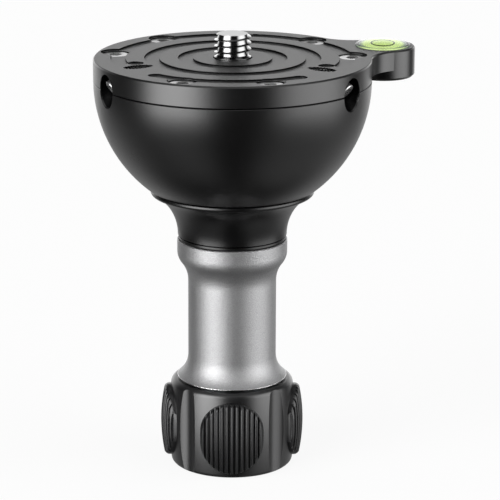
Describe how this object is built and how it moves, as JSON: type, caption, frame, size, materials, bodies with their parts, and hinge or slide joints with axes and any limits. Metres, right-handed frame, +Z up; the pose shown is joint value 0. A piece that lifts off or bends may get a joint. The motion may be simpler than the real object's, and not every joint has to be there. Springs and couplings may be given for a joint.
{
  "type": "leveling base",
  "caption": "Half-ball leveling base for a video tripod bowl: grooved plate with threaded stud, bubble level on a lug, clamp cup, grey handle and ribbed locking knob.",
  "frame": {"origin": "middle of the knob's flat underside, on the axis of the draw rod", "axes": "+Z up the axis towards the head stud, +X from the axis towards the bubble level, +Y completes the frame"},
  "size_m": [0.0873, 0.072, 0.1159],
  "materials": {
    "black_anodised": "bead-blasted, satin black anodised",
    "grey_anodised": "bead-blasted, gunmetal grey anodised",
    "bright_steel": "turned, bright",
    "spring_steel": "phosphated spring steel",
    "zinc_steel": "zinc plated",
    "brass": "turned",
    "nylon": "natural nylon",
    "black_acetal": "turned black acetal",
    "grip_rubber": "moulded, ribbed",
    "clear_acrylic": "polished clear acrylic",
    "level_liquid": "dyed level liquid",
    "air": "air bubble",
    "black_ink": "filled groove"
  },
  "bodies": {
    "ball": {"top_plate": "black_anodised", "half_ball": "black_anodised", "head_stud": "bright_steel", "stud_clip": "spring_steel", "plate_screws": "bright_steel", "vial_cup": "clear_acrylic", "vial_liquid": "level_liquid", "vial_bubble": "air", "vial_target_ring": "black_ink", "vial_lens": "clear_acrylic", "draw_rod": "zinc_steel", "rod_nut": "zinc_steel", "rod_washer": "zinc_steel"},
    "clamp": {"clamp_cup": "black_anodised", "cup_ring": "black_acetal", "slip_washer": "black_acetal", "handle": "grey_anodised", "upper_bush": "nylon", "lower_bush": "nylon"},
    "knob": {"knob_body": "black_anodised", "knob_nut": "brass", "grip_pad_1": "grip_rubber", "grip_pad_2": "grip_rubber", "grip_pad_3": "grip_rubber", "grip_pad_4": "grip_rubber", "knob_cap": "black_acetal", "thrust_washer": "black_acetal"},
    "lock_1": {"lock_screw_1": "bright_steel", "lock_tip_1": "nylon"},
    "lock_2": {"lock_screw_2": "bright_steel", "lock_tip_2": "nylon"},
    "lock_3": {"lock_screw_3": "bright_steel", "lock_tip_3": "nylon"}
  },
  "joints": [
    {"name": "clamp_slide", "type": "slide", "parent": "ball", "child": "clamp", "axis": [0, 0, -1], "range_m": [0, 0.006]},
    {"name": "knob_turn", "type": "hinge", "parent": "clamp", "child": "knob", "pos_m": [0, 0, 0], "axis": [0, 0, -1], "range_deg": [0, 1440]},
    {"name": "lock_screw_1_slide", "type": "slide", "parent": "ball", "child": "lock_1", "axis": [-0.3651, -0.7654, 0.5299], "range_m": [0, 0.003]},
    {"name": "lock_screw_2_slide", "type": "slide", "parent": "ball", "child": "lock_2", "axis": [0.8454, 0.0665, 0.5299], "range_m": [0, 0.003]},
    {"name": "lock_screw_3_slide", "type": "slide", "parent": "ball", "child": "lock_3", "axis": [-0.4803, 0.6989, 0.5299], "range_m": [0, 0.003]}
  ],
  "couplings": [
    {"joint": "clamp_slide", "follows": "knob_turn", "m_per_rad": 0.00023873}
  ]
}
